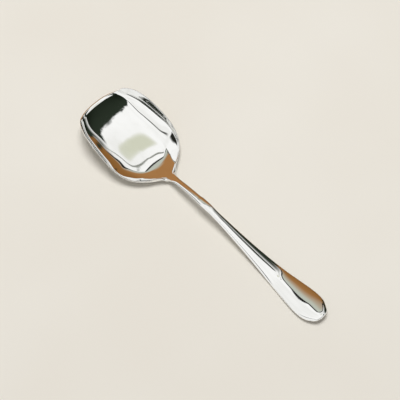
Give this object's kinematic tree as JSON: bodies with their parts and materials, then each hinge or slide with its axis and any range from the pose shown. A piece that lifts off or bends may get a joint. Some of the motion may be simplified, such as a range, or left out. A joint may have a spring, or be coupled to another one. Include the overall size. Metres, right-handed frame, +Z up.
{
  "type": "rice serving spoon",
  "caption": "Polished steel serving spoon with a broad square-fronted scoop bowl, a narrow neck and a crowned handle that widens to a rounded end.",
  "frame": {"origin": "on the table, under the middle of the spoon's length and width", "axes": "+X from the front lip to the handle's end, +Y to the spoon's side, +Z up out of the bowl"},
  "size_m": [0.2254, 0.057, 0.0195],
  "materials": {
    "polished_steel": "mirror-polished stainless steel, bare and unplated"
  },
  "bodies": {
    "root": {"bowl": "polished_steel", "neck": "polished_steel", "handle": "polished_steel"}
  },
  "joints": []
}
